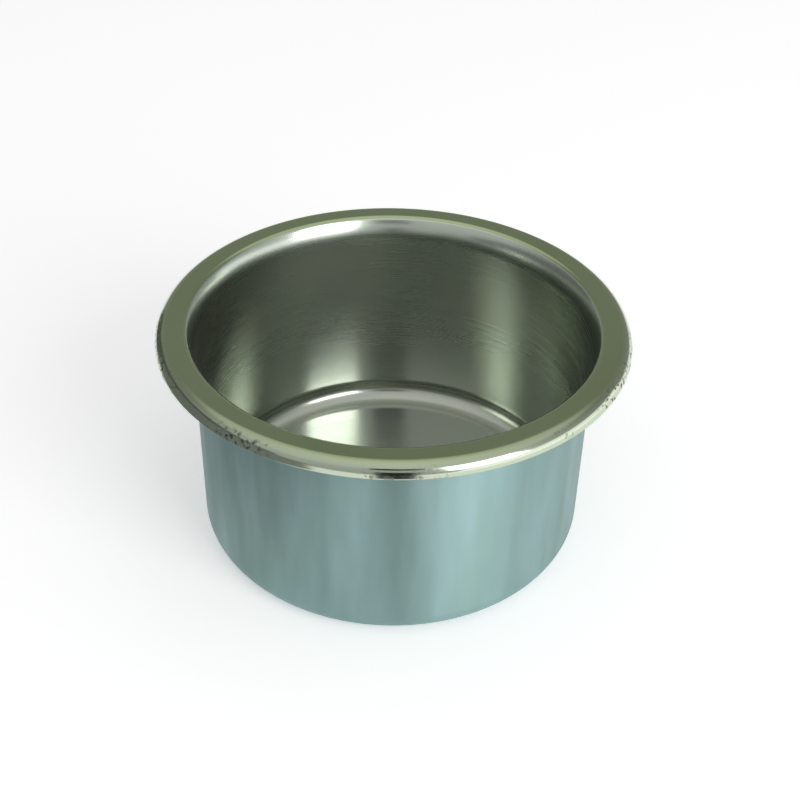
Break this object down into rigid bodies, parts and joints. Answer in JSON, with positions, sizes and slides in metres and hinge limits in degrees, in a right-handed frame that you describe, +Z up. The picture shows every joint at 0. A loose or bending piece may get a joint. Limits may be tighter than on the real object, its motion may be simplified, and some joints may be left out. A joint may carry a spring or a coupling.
{
  "type": "deep drawn metal cup",
  "caption": "Deep drawn sheet metal cup with a straight round well, rounded base corner, flat flange and turned-down rim, made to drop into a round cut-out and hold a drink.",
  "frame": {"origin": "centre of the base's underside, on the surface the cup stands on", "axes": "+Z up along the cup's axis, out of its mouth; the cup is round, so +X and +Y are alike"},
  "size_m": [0.106, 0.106, 0.0546],
  "materials": {
    "drawn_steel": "satin inside and outside the well with marks that run round it, polished flange and rim"
  },
  "bodies": {
    "root": {"cup": "drawn_steel"}
  },
  "joints": []
}
